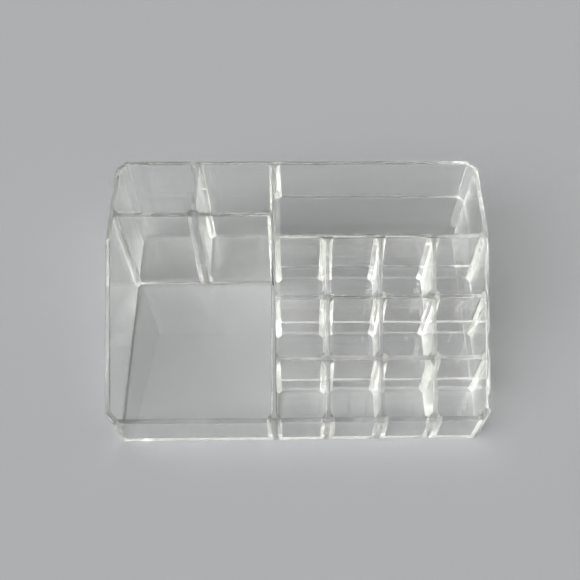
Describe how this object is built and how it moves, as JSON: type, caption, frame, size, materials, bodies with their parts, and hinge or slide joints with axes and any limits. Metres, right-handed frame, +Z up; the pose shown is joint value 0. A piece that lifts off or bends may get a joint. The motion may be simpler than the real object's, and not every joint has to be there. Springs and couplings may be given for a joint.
{
  "type": "vanity organizer",
  "caption": "Clear plastic vanity organizer with stepped lipstick slots at the right front, a raised tray behind them, and one large and two small open compartments at the left.",
  "frame": {"origin": "middle of the underside, on the surface that the organizer stands on", "axes": "+X to the right as seen from the front, +Y to the back, +Z up"},
  "size_m": [0.236, 0.16, 0.085],
  "materials": {
    "clear_plastic": "colourless transparent rigid plastic with polished faces and bright edges"
  },
  "bodies": {
    "root": {"base_plate": "clear_plastic", "back_panel": "clear_plastic", "front_panel": "clear_plastic", "left_side_panel": "clear_plastic", "right_side_panel": "clear_plastic", "rear_left_corner_panel": "clear_plastic", "rear_right_corner_panel": "clear_plastic", "front_left_corner_panel": "clear_plastic", "front_right_corner_panel": "clear_plastic", "centre_divider": "clear_plastic", "left_cross_divider": "clear_plastic", "small_bin_partition": "clear_plastic", "lipstick_back_wall": "clear_plastic", "lipstick_upper_row_wall": "clear_plastic", "lipstick_lower_row_wall": "clear_plastic", "back_tray_floor": "clear_plastic", "upper_step_floor": "clear_plastic", "lower_step_floor": "clear_plastic", "back_row_divider_left": "clear_plastic", "back_row_divider_middle": "clear_plastic", "back_row_divider_right": "clear_plastic", "middle_row_divider_left": "clear_plastic", "middle_row_divider_middle": "clear_plastic", "middle_row_divider_right": "clear_plastic", "front_row_divider_left": "clear_plastic", "front_row_divider_middle": "clear_plastic", "front_row_divider_right": "clear_plastic"}
  },
  "joints": []
}
